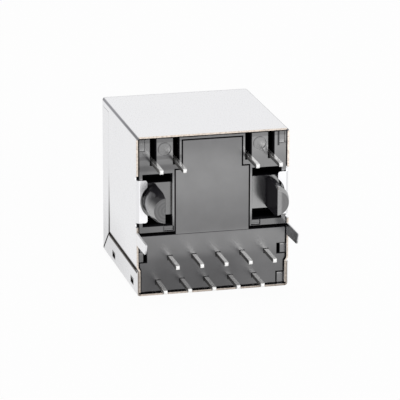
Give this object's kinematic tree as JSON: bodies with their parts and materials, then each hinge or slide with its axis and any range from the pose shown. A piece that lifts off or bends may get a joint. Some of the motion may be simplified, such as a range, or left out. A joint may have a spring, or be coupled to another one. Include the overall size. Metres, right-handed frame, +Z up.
{
  "type": "ethernet jack",
  "caption": "Upright shielded network socket for a circuit board: folded metal shield round a black housing with a plug port, indicator lights, locating posts, solder pins and spring contacts.",
  "frame": {"origin": "middle of the whole part across and along, on the outside of the back panel it lies on", "axes": "+X across the width, +Y from the board pins to the plug face, +Z up from the back panel to the latch side"},
  "size_m": [0.016, 0.0206, 0.0169],
  "materials": {
    "shield_metal": "smooth nickel plate with bare cut edges",
    "housing_plastic": "satin moulded black",
    "carrier_plastic": "satin moulded black",
    "tinned_pin": "bright tin",
    "contact_gold": "gilt spring wire",
    "led_green": "tinted clear",
    "led_amber": "tinted clear",
    "circuit_board": "green solder mask",
    "ferrite": "matt sintered",
    "copper_wire": "enamelled",
    "chip_black": "glazed",
    "capacitor_ceramic": "matt ceramic"
  },
  "bodies": {
    "root": {"shield_shell": "shield_metal", "shield_cover": "shield_metal", "housing": "housing_plastic", "contact_carrier": "carrier_plastic", "module_board": "circuit_board", "capacitor": "capacitor_ceramic", "board_pin_1": "tinned_pin", "board_pin_2": "tinned_pin", "board_pin_3": "tinned_pin", "board_pin_4": "tinned_pin", "board_pin_5": "tinned_pin", "board_pin_6": "tinned_pin", "board_pin_7": "tinned_pin", "board_pin_8": "tinned_pin", "board_pin_9": "tinned_pin", "board_pin_10": "tinned_pin", "contact_1": "contact_gold", "contact_2": "contact_gold", "contact_3": "contact_gold", "contact_4": "contact_gold", "contact_5": "contact_gold", "contact_6": "contact_gold", "contact_7": "contact_gold", "contact_8": "contact_gold", "led_left": "led_green", "led_left_inner_lead": "tinned_pin", "led_left_outer_lead": "tinned_pin", "led_right": "led_amber", "led_right_inner_lead": "tinned_pin", "led_right_outer_lead": "tinned_pin", "transformer_core_1": "ferrite", "transformer_winding_1": "copper_wire", "transformer_core_2": "ferrite", "transformer_winding_2": "copper_wire", "transformer_core_3": "ferrite", "transformer_winding_3": "copper_wire", "transformer_core_4": "ferrite", "transformer_winding_4": "copper_wire", "choke_core_1": "ferrite", "choke_winding_1": "copper_wire", "choke_core_2": "ferrite", "choke_winding_2": "copper_wire", "choke_core_3": "ferrite", "choke_winding_3": "copper_wire", "choke_core_4": "ferrite", "choke_winding_4": "copper_wire", "resistor_1": "chip_black", "resistor_2": "chip_black", "resistor_3": "chip_black", "resistor_4": "chip_black"}
  },
  "joints": []
}
